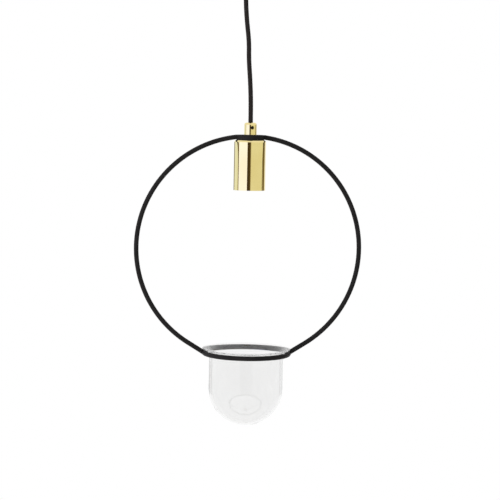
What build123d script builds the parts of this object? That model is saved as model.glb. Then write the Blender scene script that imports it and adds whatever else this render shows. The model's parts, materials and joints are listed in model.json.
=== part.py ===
"""Pendant lamp whose rod hoop carries a clear glass vase, hung by a textile cord from a ceiling rose.

Millimetres, +Z up. The origin is the centre of the ceiling face. The hoop stands in the XZ plane, and its
upright axis is the lamp axis, a little to the right of the ceiling rose because the cord hangs with a set.
"""

import os
from math import acos, asin, atan, cos, degrees, pi, radians, sin, sqrt, tan

from build123d import *

os.makedirs("parts", exist_ok=True)

# Cord
cord_d = 7.0
core_d = 2.2
core_bend_r = 2.5
core_fan_angle = 60.0  # from the middle of the cord to its live and neutral cores
cord_clearance = 0.3  # between the cord and a bore that it turns or swings in
cord_end_gap = 0.3  # between the free cord and its held ends
cord_entry = 4.7  # how far the free cord reaches into the lamp's grip
# Route of the free cord below its swing point, as sideways offset and drop.
cord_route = [
    (0.0, 0.0),
    (-0.2, 29.0),
    (2.2, 61.0),
    (6.0, 91.0),
    (6.1, 117.0),
    (8.7, 147.0),
    (10.5, 182.0),
    (10.5, 214.7),
]
arc_share = 0.45  # share of the shorter run that each bend of the cord takes

# Ceiling rose
canopy_d = 100.0
canopy_height = 30.0
canopy_wall = 1.2
canopy_corner_r = 5.0
bracket_width = 22.0
bracket_sheet = 2.0
bracket_leg = 16.0
bracket_bend_r = 1.5
bracket_side_gap = 1.8  # between the bracket's legs and the canopy's wall
ceiling_hole_d = 5.0
ceiling_hole_spacing = 72.0
side_screw_d = 4.0
side_screw_drop = 9.0
side_screw_length = 8.0
side_head_d = 7.5
side_head_height = 2.8

# Cord outlet under the canopy
outlet_d = 16.0
outlet_drop = 16.0
outlet_edge_r = 1.2
swing_depth = 3.0  # from the outlet's mouth up to the cord's swing point
flare_start = 1.0  # from the swing point up to where the mouth begins to flare
flare_angle = 24.0
outlet_screw_rise = 10.0  # from the mouth up to the set screw
spigot_length = 9.0
cord_tail_rise = 4.0  # how far the cord stands out of the spigot

# Connector strip and earth terminal in the canopy
block_length = 20.0
block_width = 17.0
block_height = 12.0
block_x = -18.0
pole_pitch = 10.0
sleeve_d = 5.0
sleeve_bore_d = 3.2
sleeve_length = 15.0
pole_screw_d = 2.5
pole_screw_pitch = 7.0
pole_screw_sink = 1.0
core_in_sleeve = 5.5
core_straight = 4.4  # straight end of a core in front of the connector strip
block_screw_d = 3.0
block_screw_head_d = 5.5
block_screw_head_height = 2.0
earth_x = 18.0
earth_screw_d = 4.0
earth_head_d = 7.0
earth_head_height = 2.6
tag_sheet = 0.8
tag_d = 8.0
tag_barrel_wall = 0.75
tag_barrel_length = 4.5

# Threads, screws and welds
thread_clearance = 0.05
screw_slot_width = 0.8
screw_slot_depth = 0.9
slot_overrun = 1.0  # by which a slot's cutter is longer than the head
weld_gap = 0.05
set_screw_d = 5.0
set_screw_hole_d = 5.2
set_screw_sink = 2.6  # how far a set screw lies below the surface
set_screw_socket = 2.5
nipple_d = 10.0
nut_across_flats = 14.0
nut_height = 4.0

# Lamp's cord grip and hub
grip_d = 18.5
grip_height = 18.0
grip_edge_r = 3.2
grip_screw_drop = 7.5
grip_screw_azimuth = 12.0  # degrees from the front towards +X
nipple_in_grip = 8.0
nipple_end = 1.3  # how far the nipple stands out of its nut
cord_end_drop = 2.0  # how far the held cord stands out of the nipple
hub_d = 41.0
hub_edge_r = 1.0

# Hoop, measured to the centre of the rod
rod_d = 7.0
hoop_d = 332.8
hoop_end_straight = 28.4  # straight run of each rod above the vase ring

# Lampholder
cup_d = 47.0
cup_height = 74.2
cup_wall = 1.0
cup_corner_r = 3.0
cup_gap = 0.8  # between the hoop's rod and the cup under it
bridge_sheet = 1.2
bridge_length = 34.0
bridge_width = 12.0
bridge_leg = 20.0
bridge_foot = 7.5
bridge_screw_d = 3.0
bridge_screw_length = 8.0
bridge_screw_x = 12.6
bridge_head_d = 5.0
bridge_head_height = 1.8
leg_screw_drop = 12.5
leg_screw_length = 4.0
insert_d = 38.0
insert_height = 46.0
insert_edge_r = 1.5
shell_bore_d = 26.6
shell_wall = 0.5
shell_length = 22.0
shell_flange_hole_d = 18.0
shell_clearance = 0.1
contact_recess = 6.0  # depth of the leaf's recess above the shell
leaf_sheet = 0.8
leaf_width = 5.0
leaf_half_length = 7.0
leaf_base = 5.8
leaf_drop = 4.2
leaf_tip = 1.0
leaf_rivet_x = -4.5
shell_rivet_y = 11.2
rivet_d = 2.0
rivet_head_d = 3.6
rivet_head_height = 0.8
rivet_length = 9.0
post_size = 6.0
post_height = 5.0
post_y = 11.0
post_screw_d = 2.5
post_head_d = 4.4
post_head_height = 1.4
core_in_post = 3.0
core_ring_r = 1.65  # how far each core lies from the cord's axis

# Glass vase
vase_d = 111.4
vase_wall = 2.6
vase_lip_wall = 1.4  # the glass thins out towards the lip's edge
vase_flare_r = 9.3  # bend of the lip's underside
vase_lip_width = 9.9  # from the body out to the lip's edge
vase_straight = 48.9
vase_lip_overhang = 2.3  # from the middle of the ring's rod out to the lip's edge
vase_rest_gap = 0.3  # between the lip and the hoop's rods that it rests on

# Places that follow from the sizes
cord_r = cord_d / 2
core_r = core_d / 2
rod_r = rod_d / 2
cord_bore_r = cord_r + cord_clearance
nipple_r = nipple_d / 2
nipple_hole_r = nipple_r + thread_clearance
hoop_r = hoop_d / 2
vase_r = vase_d / 2
lip_edge_r = vase_r + vase_lip_width
ring_r = lip_edge_r - vase_lip_overhang
ring_reach = sqrt(hoop_r**2 + hoop_end_straight**2)
rod_slope = asin(ring_r / ring_reach) + atan(hoop_end_straight / hoop_r)
hub_r = hub_d / 2
canopy_r = canopy_d / 2
outlet_r = outlet_d / 2
mouth_z = -(canopy_height + outlet_drop)
swing_z = mouth_z + swing_depth
spigot_top_z = -canopy_height + spigot_length
cord_tail_top_z = spigot_top_z + cord_tail_rise
bracket_half = canopy_r - canopy_wall - bracket_side_gap

lamp_x = cord_route[-1][0]
cord_bottom_z = swing_z - cord_route[-1][1]
lamp_top_z = cord_bottom_z + cord_entry
hub_top_z = lamp_top_z - grip_height
hoop_z = hub_top_z - rod_r - sqrt(hoop_r**2 - hub_r**2)
ring_z = hoop_z - sqrt(ring_reach**2 - ring_r**2)
cup_flat_r = cup_d / 2 - cup_corner_r
cup_top_z = hoop_z + sqrt((hoop_r - rod_r) ** 2 - cup_flat_r**2) - cup_gap
web_top_z = cup_top_z - cup_wall
nut_top_z = web_top_z - bridge_sheet
nipple_top_z = hub_top_z + nipple_in_grip
nipple_bottom_z = nut_top_z - nut_height - nipple_end
cord_end_top_z = cord_bottom_z - cord_end_gap
cord_end_bottom_z = nipple_bottom_z - cord_end_drop
insert_top_z = nut_top_z - bridge_leg
insert_bottom_z = insert_top_z - insert_height
shell_top_z = insert_bottom_z + shell_length
recess_top_z = shell_top_z + contact_recess

rose_section = Plane.XZ
lamp_section = Plane(origin=(lamp_x, 0, 0), x_dir=(1, 0, 0), z_dir=(0, -1, 0))
lamp_axis = Axis((lamp_x, 0, 0), (0, 0, 1))


def level(x, z, y=0.0):
    """A horizontal plane facing up, with its origin at the given place."""
    return Plane(origin=(x, y, z), x_dir=(1, 0, 0), z_dir=(0, 0, 1))


def facing_down(x, z, y=0.0):
    """A horizontal plane facing down, with its origin at the given place."""
    return Plane(origin=(x, y, z), x_dir=(1, 0, 0), z_dir=(0, 0, -1))


def upright(x, z, azimuth):
    """A vertical plane through an upright axis, facing out at an azimuth from the front towards +X."""
    turn = radians(azimuth)
    return Plane(origin=(x, 0, z), x_dir=(cos(turn), sin(turn), 0), z_dir=(sin(turn), -cos(turn), 0))


def spun_cup(section, axis, radius, height, wall, corner_r, hole_r, base_z, opens):
    """A round cup with a hole in its base, open upwards (opens = 1) or downwards (opens = -1)."""
    slant = sqrt(0.5)
    turn_r = radius - corner_r
    inner_r = corner_r - wall
    corner_z = base_z + opens * corner_r
    rim_z = base_z + opens * height
    inside_z = base_z + opens * wall
    outer_mid = (turn_r + corner_r * slant, corner_z - opens * corner_r * slant)
    inner_mid = (turn_r + inner_r * slant, corner_z - opens * inner_r * slant)
    with BuildPart() as cup:
        with BuildSketch(section):
            with BuildLine():
                Line((hole_r, base_z), (turn_r, base_z))
                ThreePointArc((turn_r, base_z), outer_mid, (radius, corner_z))
                Line((radius, corner_z), (radius, rim_z))
                Line((radius, rim_z), (radius - wall, rim_z))
                Line((radius - wall, rim_z), (radius - wall, corner_z))
                ThreePointArc((radius - wall, corner_z), inner_mid, (turn_r, inside_z))
                Polyline((turn_r, inside_z), (hole_r, inside_z), (hole_r, base_z))
            make_face()
        revolve(axis=axis)
    return cup.part


def tube(outer_r, inner_r, bottom_z, top_z, x):
    """An upright tube."""
    with BuildPart() as piece:
        with BuildSketch(level(x, bottom_z)):
            Circle(outer_r)
            Circle(inner_r, mode=Mode.SUBTRACT)
        extrude(amount=top_z - bottom_z)
    return piece.part


def rod(radius, bottom_z, top_z, x):
    """An upright round rod."""
    with BuildPart() as piece:
        with BuildSketch(level(x, bottom_z)):
            Circle(radius)
        extrude(amount=top_z - bottom_z)
    return piece.part


def slotted_screw(seat, shank_d, shank_length, head_d, head_height):
    """A cheese-head screw whose head stands on the seat plane and whose shank goes behind it."""
    with BuildPart() as screw:
        with BuildSketch(seat):
            Circle(head_d / 2)
        extrude(amount=head_height)
        with BuildSketch(seat):
            Circle(shank_d / 2)
        extrude(amount=-shank_length)
        with BuildSketch(seat.offset(head_height)):
            Rectangle(head_d + slot_overrun, screw_slot_width)
        extrude(amount=-screw_slot_depth, mode=Mode.SUBTRACT)
    return screw.part


def set_screw(seat, from_r, to_r):
    """A headless screw along the seat plane's normal, with a hex socket in its outer end."""
    with BuildPart() as screw:
        with BuildSketch(seat.offset(from_r)):
            Circle(set_screw_d / 2)
        extrude(amount=to_r - from_r)
        with BuildSketch(seat.offset(to_r)):
            RegularPolygon(set_screw_socket / 2, 6)
        extrude(amount=-set_screw_socket, mode=Mode.SUBTRACT)
    return screw.part


def hex_nut(x, bottom_z):
    """A hexagon nut on the hollow nipple's thread."""
    with BuildPart() as nut:
        with BuildSketch(level(x, bottom_z)):
            RegularPolygon(nut_across_flats / 2, 6, major_radius=False)
            Circle(nipple_hole_r, mode=Mode.SUBTRACT)
        extrude(amount=nut_height)
    return nut.part


def core(points):
    """One insulated core of the cord, with rounded bends at its inner points."""
    with BuildPart() as wire:
        with BuildLine() as route:
            FilletPolyline(*points, radius=core_bend_r)
        with BuildSketch(Plane(origin=route.line @ 0, z_dir=route.line % 0)):
            Circle(core_r)
        sweep(path=route.line)
    return wire.part


# Ceiling bracket: a bent strap with two ceiling holes and a tapped hole in each leg
side_screw_z = -side_screw_drop
with BuildPart() as ceiling_bracket:
    with BuildSketch(rose_section):
        with BuildLine():
            inner_half = bracket_half - bracket_sheet
            Polyline(
                (-bracket_half, 0),
                (bracket_half, 0),
                (bracket_half, -bracket_leg),
                (inner_half, -bracket_leg),
                (inner_half, -bracket_sheet),
                (-inner_half, -bracket_sheet),
                (-inner_half, -bracket_leg),
                (-bracket_half, -bracket_leg),
                close=True,
            )
        make_face()
    extrude(amount=bracket_width / 2, both=True)
    fillet(ceiling_bracket.edges().filter_by(Axis.Y).group_by(Axis.Z)[-1], bracket_bend_r)
    with BuildSketch(Plane.XY):
        with GridLocations(ceiling_hole_spacing, 0, 2, 1):
            Circle(ceiling_hole_d / 2)
        with Locations((block_x, 0)):
            Circle(block_screw_d / 2 + thread_clearance)
        with Locations((earth_x, 0)):
            Circle(earth_screw_d / 2 + thread_clearance)
    extrude(amount=-bracket_sheet, mode=Mode.SUBTRACT)
    with BuildSketch(Plane.YZ):
        with Locations((0, side_screw_z)):
            Circle(side_screw_d / 2 + thread_clearance)
    extrude(amount=canopy_r, both=True, mode=Mode.SUBTRACT)
ceiling_bracket.part.label = "ceiling_bracket"
export_step(ceiling_bracket.part, "parts/ceiling_bracket.step")

# Canopy: the cup that covers the bracket, with holes for the outlet and the side screws
with BuildPart() as canopy:
    add(
        spun_cup(
            rose_section,
            Axis.Z,
            canopy_r,
            canopy_height,
            canopy_wall,
            canopy_corner_r,
            nipple_hole_r,
            -canopy_height,
            1,
        )
    )
    with BuildSketch(Plane.YZ):
        with Locations((0, side_screw_z)):
            Circle(side_screw_d / 2 + cord_clearance)
    extrude(amount=canopy_r, both=True, mode=Mode.SUBTRACT)
canopy.part.label = "canopy"
export_step(canopy.part, "parts/canopy.step")

# Canopy screws: one through each side of the canopy into the bracket's leg
with BuildPart() as canopy_screws:
    for azimuth in (90, -90):
        seat = upright(0, side_screw_z, azimuth).offset(canopy_r)
        add(slotted_screw(seat, side_screw_d, side_screw_length, side_head_d, side_head_height))
canopy_screws.part.label = "canopy_screws"
export_step(canopy_screws.part, "parts/canopy_screws.step")

# Cord outlet: tube with a threaded spigot through the canopy and a flared mouth for the swinging cord
flare_z = swing_z + flare_start
mouth_r = cord_bore_r + (flare_z - mouth_z) * tan(radians(flare_angle))
outlet_screw_z = mouth_z + outlet_screw_rise
with BuildPart() as cord_outlet:
    with BuildSketch(rose_section):
        with BuildLine():
            Polyline(
                (cord_bore_r, spigot_top_z),
                (nipple_r, spigot_top_z),
                (nipple_r, -canopy_height),
                (outlet_r, -canopy_height),
                (outlet_r, mouth_z),
                (mouth_r, mouth_z),
                (cord_bore_r, flare_z),
                close=True,
            )
        make_face()
    revolve(axis=Axis.Z)
    mouth_edges = cord_outlet.edges().filter_by(GeomType.CIRCLE).group_by(Axis.Z)[0]
    fillet(mouth_edges.sort_by(SortBy.RADIUS)[-1], outlet_edge_r)
    with BuildSketch(upright(0, outlet_screw_z, 0)):
        Circle(set_screw_hole_d / 2)
    extrude(amount=outlet_r, mode=Mode.SUBTRACT)
cord_outlet.part.label = "cord_outlet"
export_step(cord_outlet.part, "parts/cord_outlet.step")

# Outlet nut, on the spigot inside the canopy
with BuildPart() as outlet_nut:
    add(hex_nut(0, -canopy_height + canopy_wall))
outlet_nut.part.label = "outlet_nut"
export_step(outlet_nut.part, "parts/outlet_nut.step")

# Outlet set screw, against the held top of the cord
with BuildPart() as outlet_screw:
    add(set_screw(upright(0, outlet_screw_z, 0), cord_r + thread_clearance, outlet_r - set_screw_sink))
outlet_screw.part.label = "outlet_screw"
export_step(outlet_screw.part, "parts/outlet_screw.step")

# Cord tail: the top of the cord, held in the outlet
with BuildPart() as cord_tail:
    add(rod(cord_r, swing_z + cord_r + cord_end_gap, cord_tail_top_z, 0))
cord_tail.part.label = "cord_tail"
export_step(cord_tail.part, "parts/cord_tail.step")

# Terminal block: two-pole connector strip under the bracket, with its sleeves across
block_top_z = -bracket_sheet
block_z = block_top_z - block_height / 2
block_bottom_z = block_top_z - block_height
block_near_x = block_x + block_width / 2
pole_ys = (-pole_pitch / 2, pole_pitch / 2)
sleeve_r = sleeve_d / 2
with BuildPart() as terminal_block:
    with Locations((block_x, 0, block_z)):
        Box(block_width, block_length, block_height)
    with BuildSketch(Plane.YZ.offset(block_near_x)):
        with Locations(*[(y, block_z) for y in pole_ys]):
            Circle(sleeve_r + thread_clearance)
    extrude(amount=-block_width, mode=Mode.SUBTRACT)
    with BuildSketch(facing_down(block_x, block_bottom_z)):
        with GridLocations(pole_screw_pitch, pole_pitch, 2, 2):
            Circle(pole_screw_d / 2 + cord_clearance)
    extrude(amount=-block_height / 2, mode=Mode.SUBTRACT)
    with BuildSketch(facing_down(block_x, block_bottom_z)):
        Circle(block_screw_d / 2 + thread_clearance)
    extrude(amount=-block_height, mode=Mode.SUBTRACT)
    with BuildSketch(facing_down(block_x, block_bottom_z)):
        Circle(block_screw_head_d / 2 + thread_clearance)
    extrude(amount=-block_screw_head_height, mode=Mode.SUBTRACT)
terminal_block.part.label = "terminal_block"
export_step(terminal_block.part, "parts/terminal_block.step")

# Terminal sleeves: the two brass tubes in the block
with BuildPart() as terminal_sleeves:
    with BuildSketch(Plane.YZ.offset(block_x - sleeve_length / 2)):
        with Locations(*[(y, block_z) for y in pole_ys]):
            Circle(sleeve_r)
            Circle(sleeve_bore_d / 2, mode=Mode.SUBTRACT)
    extrude(amount=sleeve_length)
    with BuildSketch(facing_down(block_x, block_z)):
        with GridLocations(pole_screw_pitch, pole_pitch, 2, 2):
            Circle(pole_screw_d / 2 + thread_clearance)
    extrude(amount=sleeve_d, mode=Mode.SUBTRACT)
terminal_sleeves.part.label = "terminal_sleeves"
export_step(terminal_sleeves.part, "parts/terminal_sleeves.step")

# Terminal screws: four, from below into the sleeves, up to the cores
pole_screw_top_z = block_z - core_r - thread_clearance
pole_screw_bottom_z = block_bottom_z + pole_screw_sink
with BuildPart() as terminal_screws:
    with BuildSketch(level(block_x, pole_screw_bottom_z)):
        with GridLocations(pole_screw_pitch, pole_pitch, 2, 2):
            Circle(pole_screw_d / 2)
    extrude(amount=pole_screw_top_z - pole_screw_bottom_z)
    with BuildSketch(level(block_x, pole_screw_bottom_z)):
        with GridLocations(pole_screw_pitch, pole_pitch, 2, 2):
            Rectangle(pole_screw_d + slot_overrun, screw_slot_width)
    extrude(amount=screw_slot_depth, mode=Mode.SUBTRACT)
terminal_screws.part.label = "terminal_screws"
export_step(terminal_screws.part, "parts/terminal_screws.step")

# Block screw: through the block into the bracket
block_screw_seat = facing_down(block_x, block_bottom_z + block_screw_head_height)
with BuildPart() as block_screw:
    add(
        slotted_screw(
            block_screw_seat,
            block_screw_d,
            block_height - block_screw_head_height + bracket_sheet,
            block_screw_head_d,
            block_screw_head_height,
        )
    )
block_screw.part.label = "block_screw"
export_step(block_screw.part, "parts/block_screw.step")

# Earth tag on the bracket: a flat ring with a crimped barrel
tag_bottom_z = -bracket_sheet - tag_sheet
barrel_bore_r = core_r + thread_clearance
barrel_r = barrel_bore_r + tag_barrel_wall
barrel_z = tag_bottom_z - barrel_bore_r
barrel_end_x = earth_x - tag_d / 2 - thread_clearance
barrel_start_x = barrel_end_x - tag_barrel_length
with BuildPart() as canopy_earth_tag:
    with BuildSketch(level(0, tag_bottom_z)):
        with Locations((earth_x, 0)):
            Circle(tag_d / 2)
        with Locations(((earth_x + barrel_start_x) / 2, 0)):
            Rectangle(earth_x - barrel_start_x, barrel_r)
        with Locations((earth_x, 0)):
            Circle(earth_screw_d / 2 + thread_clearance, mode=Mode.SUBTRACT)
    extrude(amount=tag_sheet)
    with BuildSketch(Plane.YZ.offset(barrel_start_x)):
        with Locations((0, barrel_z)):
            Circle(barrel_r)
    extrude(amount=tag_barrel_length)
    with BuildSketch(Plane.YZ.offset(barrel_start_x)):
        with Locations((0, barrel_z)):
            Circle(barrel_bore_r)
    extrude(amount=tag_barrel_length, mode=Mode.SUBTRACT)
    with BuildSketch(level(0, -bracket_sheet)):
        Rectangle(canopy_d, canopy_d)
    extrude(amount=bracket_sheet, mode=Mode.SUBTRACT)
canopy_earth_tag.part.label = "canopy_earth_tag"
export_step(canopy_earth_tag.part, "parts/canopy_earth_tag.step")

# Earth screw: through the tag into the bracket
with BuildPart() as canopy_earth_screw:
    add(
        slotted_screw(
            facing_down(earth_x, tag_bottom_z),
            earth_screw_d,
            tag_sheet + bracket_sheet,
            earth_head_d,
            earth_head_height,
        )
    )
canopy_earth_screw.part.label = "canopy_earth_screw"
export_step(canopy_earth_screw.part, "parts/canopy_earth_screw.step")

# Cores in the canopy: from the cord's top to the connector strip and the earth tag
fan_out = core_ring_r * cos(radians(core_fan_angle))
fan_side = core_ring_r * sin(radians(core_fan_angle))
lift_z = (cord_tail_top_z + block_z) / 2
sleeve_mouth_x = block_x + sleeve_length / 2
core_stop_x = sleeve_mouth_x - core_in_sleeve


def canopy_core(side):
    """Route of a current-carrying core, to the pole on the given side."""
    pole_y = side * pole_pitch / 2
    straight_x = block_near_x + core_straight
    return [
        (-fan_out, side * fan_side, cord_tail_top_z),
        (-fan_out, side * fan_side, lift_z),
        (straight_x, pole_y, block_z),
        (core_stop_x, pole_y, block_z),
    ]


with BuildPart() as canopy_live_core:
    add(core(canopy_core(-1)))
canopy_live_core.part.label = "canopy_live_core"
export_step(canopy_live_core.part, "parts/canopy_live_core.step")

with BuildPart() as canopy_neutral_core:
    add(core(canopy_core(1)))
canopy_neutral_core.part.label = "canopy_neutral_core"
export_step(canopy_neutral_core.part, "parts/canopy_neutral_core.step")

with BuildPart() as canopy_earth_core:
    add(
        core(
            [
                (core_ring_r, 0, cord_tail_top_z),
                (core_ring_r, 0, (cord_tail_top_z + barrel_z) / 2),
                ((core_ring_r + barrel_start_x) / 2, 0, barrel_z),
                (barrel_end_x, 0, barrel_z),
            ]
        )
    )
canopy_earth_core.part.label = "canopy_earth_core"
export_step(canopy_earth_core.part, "parts/canopy_earth_core.step")

# Free cord: straight runs joined by wide arcs, with a round top that swings in the outlet's mouth
cord_points = [Vector(x, 0, swing_z - drop) for x, drop in cord_route]
cord_runs = [b - a for a, b in zip(cord_points, cord_points[1:])]
cord_bends = []
for before, after in zip(cord_runs, cord_runs[1:]):
    shorter = min(before.length, after.length)
    cord_bends.append(arc_share * shorter / tan(radians(before.get_angle(after)) / 2))
with BuildPart() as textile_cord:
    with BuildLine() as cord_path:
        FilletPolyline(*cord_points, radius=cord_bends)
    with BuildSketch(Plane(origin=cord_path.line @ 0, z_dir=cord_path.line % 0)):
        Circle(cord_r)
    sweep(path=cord_path.line)
    with Locations(cord_points[0]):
        Sphere(cord_r)
textile_cord.part.label = "textile_cord"
export_step(textile_cord.part, "parts/textile_cord.step")
cord_length = sum(edge.length for edge in cord_path.edges())
cord_expected = pi * cord_r**2 * cord_length + 2 / 3 * pi * cord_r**3
print("cord bends", [round(r) for r in cord_bends], "length", round(cord_length, 1))
print("cord volume", round(textile_cord.part.volume, 1), "expected", round(cord_expected, 1))

# Cord grip: tube screwed on the nipple, with a side hole for its set screw
grip_screw_z = lamp_top_z - grip_screw_drop
grip_side = upright(lamp_x, grip_screw_z, grip_screw_azimuth)
with BuildPart() as cord_grip:
    with BuildSketch(level(lamp_x, hub_top_z)):
        Circle(grip_d / 2)
    extrude(amount=grip_height)
    fillet(cord_grip.edges().group_by(Axis.Z)[-1], grip_edge_r)
    with BuildSketch(level(lamp_x, hub_top_z)):
        Circle(cord_bore_r)
    extrude(amount=grip_height, mode=Mode.SUBTRACT)
    with BuildSketch(level(lamp_x, hub_top_z)):
        Circle(nipple_hole_r)
    extrude(amount=nipple_in_grip + thread_clearance, mode=Mode.SUBTRACT)
    with BuildSketch(grip_side):
        Circle(set_screw_hole_d / 2)
    extrude(amount=grip_d / 2, mode=Mode.SUBTRACT)
cord_grip.part.label = "cord_grip"
export_step(cord_grip.part, "parts/cord_grip.step")

# Grip set screw, against the held end of the cord
with BuildPart() as grip_screw:
    add(set_screw(grip_side, cord_r + thread_clearance, grip_d / 2 - set_screw_sink))
grip_screw.part.label = "grip_screw"
export_step(grip_screw.part, "parts/grip_screw.step")

# Cord end: the bottom of the cord, held in the grip and the nipple
with BuildPart() as cord_end:
    add(rod(cord_r, cord_end_bottom_z, cord_end_top_z, lamp_x))
cord_end.part.label = "cord_end"
export_step(cord_end.part, "parts/cord_end.step")

# Threaded nipple: hollow tube that holds grip, hub, cup and bridge together
with BuildPart() as threaded_nipple:
    add(tube(nipple_r, cord_bore_r, nipple_bottom_z, nipple_top_z, lamp_x))
threaded_nipple.part.label = "threaded_nipple"
export_step(threaded_nipple.part, "parts/threaded_nipple.step")

# Hoop hub: disc between grip and cup
with BuildPart() as hoop_hub:
    add(tube(hub_r, nipple_hole_r, cup_top_z, hub_top_z, lamp_x))
    fillet(hoop_hub.edges().group_by(Axis.Z)[-1].sort_by(SortBy.RADIUS)[-1], hub_edge_r)
hoop_hub.part.label = "hoop_hub"
export_step(hoop_hub.part, "parts/hoop_hub.step")


def hoop_half(side):
    """One bent half of the hoop with its straight end, coped to the hub and to the vase ring."""
    start = asin(hub_r / 2 / hoop_r)
    stop = pi - rod_slope
    out = (side * sin(start), 0, cos(start))
    top = (lamp_x + hoop_r * out[0], 0, hoop_z + hoop_r * out[2])
    section = Plane(origin=top, x_dir=out, z_dir=(side * cos(start), 0, -sin(start)))
    bend_end = (lamp_x + side * hoop_r * sin(stop), 0, hoop_z + hoop_r * cos(stop))
    end_section = Plane(origin=bend_end, x_dir=(0, 1, 0), z_dir=(side * cos(stop), 0, -sin(stop)))
    with BuildPart() as half:
        with BuildSketch(section):
            Circle(rod_r)
        revolve(axis=Axis((lamp_x, 0, hoop_z), (0, side, 0)), revolution_arc=degrees(stop - start))
        with BuildSketch(end_section):
            Circle(rod_r)
        extrude(amount=hoop_end_straight)
        with Locations((lamp_x, 0, hub_top_z)):
            Cylinder(hub_r + weld_gap, 4 * rod_d, mode=Mode.SUBTRACT)
        with Locations((lamp_x, 0, ring_z)):
            Torus(ring_r, rod_r + weld_gap, mode=Mode.SUBTRACT)
    return half.part


with BuildPart() as hoop_left:
    add(hoop_half(-1))
hoop_left.part.label = "hoop_left"
export_step(hoop_left.part, "parts/hoop_left.step")

with BuildPart() as hoop_right:
    add(hoop_half(1))
hoop_right.part.label = "hoop_right"
export_step(hoop_right.part, "parts/hoop_right.step")

# Vase ring
with BuildPart() as vase_ring:
    with Locations((lamp_x, 0, ring_z)):
        Torus(ring_r, rod_r)
vase_ring.part.label = "vase_ring"
export_step(vase_ring.part, "parts/vase_ring.step")

# Socket cup: the polished cover of the lampholder, open at the bottom
with BuildPart() as socket_cup:
    add(
        spun_cup(
            lamp_section,
            lamp_axis,
            cup_d / 2,
            cup_height,
            cup_wall,
            cup_corner_r,
            nipple_hole_r,
            cup_top_z,
            -1,
        )
    )
socket_cup.part.label = "socket_cup"
export_step(socket_cup.part, "parts/socket_cup.step")

# Lock nut, clamps the bridge and the cup from inside
with BuildPart() as lock_nut:
    add(hex_nut(lamp_x, nut_top_z - nut_height))
lock_nut.part.label = "lock_nut"
export_step(lock_nut.part, "parts/lock_nut.step")

# Socket bridge: strap under the cup's top with two legs and inward feet on the insert
web_half = bridge_length / 2
leg_inside = web_half - bridge_sheet
foot_end = web_half - bridge_foot
foot_top_z = insert_top_z + bridge_sheet
leg_screw_z = nut_top_z - leg_screw_drop
with BuildPart() as socket_bridge:
    with BuildSketch(lamp_section):
        with BuildLine():
            Polyline(
                (-web_half, web_top_z),
                (web_half, web_top_z),
                (web_half, insert_top_z),
                (foot_end, insert_top_z),
                (foot_end, foot_top_z),
                (leg_inside, foot_top_z),
                (leg_inside, nut_top_z),
                (-leg_inside, nut_top_z),
                (-leg_inside, foot_top_z),
                (-foot_end, foot_top_z),
                (-foot_end, insert_top_z),
                (-web_half, insert_top_z),
                close=True,
            )
        make_face()
    extrude(amount=bridge_width / 2, both=True)
    with BuildSketch(level(lamp_x, nut_top_z)):
        Circle(nipple_hole_r)
    extrude(amount=bridge_sheet, mode=Mode.SUBTRACT)
    with BuildSketch(level(lamp_x, insert_top_z)):
        with GridLocations(2 * bridge_screw_x, 0, 2, 1):
            Circle(bridge_screw_d / 2 + thread_clearance)
    extrude(amount=bridge_sheet, mode=Mode.SUBTRACT)
    with BuildSketch(upright(lamp_x, leg_screw_z, 90).offset(leg_inside)):
        Circle(bridge_screw_d / 2 + thread_clearance)
    extrude(amount=bridge_sheet, mode=Mode.SUBTRACT)
socket_bridge.part.label = "socket_bridge"
export_step(socket_bridge.part, "parts/socket_bridge.step")

# Bridge screws: one through each foot into the insert
with BuildPart() as bridge_screws:
    for side in (-1, 1):
        seat = level(lamp_x + side * bridge_screw_x, foot_top_z)
        add(slotted_screw(seat, bridge_screw_d, bridge_screw_length, bridge_head_d, bridge_head_height))
bridge_screws.part.label = "bridge_screws"
export_step(bridge_screws.part, "parts/bridge_screws.step")

# Earth screw: in the bridge's right leg, head inside
earth_seat = upright(lamp_x, leg_screw_z, -90).offset(-leg_inside)
with BuildPart() as earth_screw:
    add(slotted_screw(earth_seat, bridge_screw_d, leg_screw_length, bridge_head_d, bridge_head_height))
earth_screw.part.label = "earth_screw"
export_step(earth_screw.part, "parts/earth_screw.step")

# Socket insert: ceramic body with the shell's bore, the feet's screw holes and the rivet holes
shell_bore_r = shell_bore_d / 2
shell_r = shell_bore_r + shell_wall
with BuildPart() as socket_insert:
    with BuildSketch(level(lamp_x, insert_bottom_z)):
        Circle(insert_d / 2)
    extrude(amount=insert_height)
    fillet(socket_insert.edges().filter_by(GeomType.CIRCLE), insert_edge_r)
    with BuildSketch(level(lamp_x, insert_bottom_z)):
        Circle(shell_r + shell_clearance)
    extrude(amount=shell_length, mode=Mode.SUBTRACT)
    with BuildSketch(level(lamp_x, shell_top_z)):
        Circle(shell_flange_hole_d / 2)
    extrude(amount=contact_recess, mode=Mode.SUBTRACT)
    with BuildSketch(level(lamp_x, insert_top_z)):
        with GridLocations(2 * bridge_screw_x, 0, 2, 1):
            Circle(bridge_screw_d / 2 + thread_clearance)
    extrude(amount=-bridge_screw_length, mode=Mode.SUBTRACT)
    leaf_rivet_hole = level(lamp_x + leaf_rivet_x, recess_top_z)
    shell_rivet_hole = level(lamp_x, shell_top_z, shell_rivet_y)
    for rivet_hole in (leaf_rivet_hole, shell_rivet_hole):
        with BuildSketch(rivet_hole):
            Circle(rivet_d / 2 + thread_clearance)
        extrude(amount=rivet_length, mode=Mode.SUBTRACT)
socket_insert.part.label = "socket_insert"
export_step(socket_insert.part, "parts/socket_insert.step")

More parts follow.
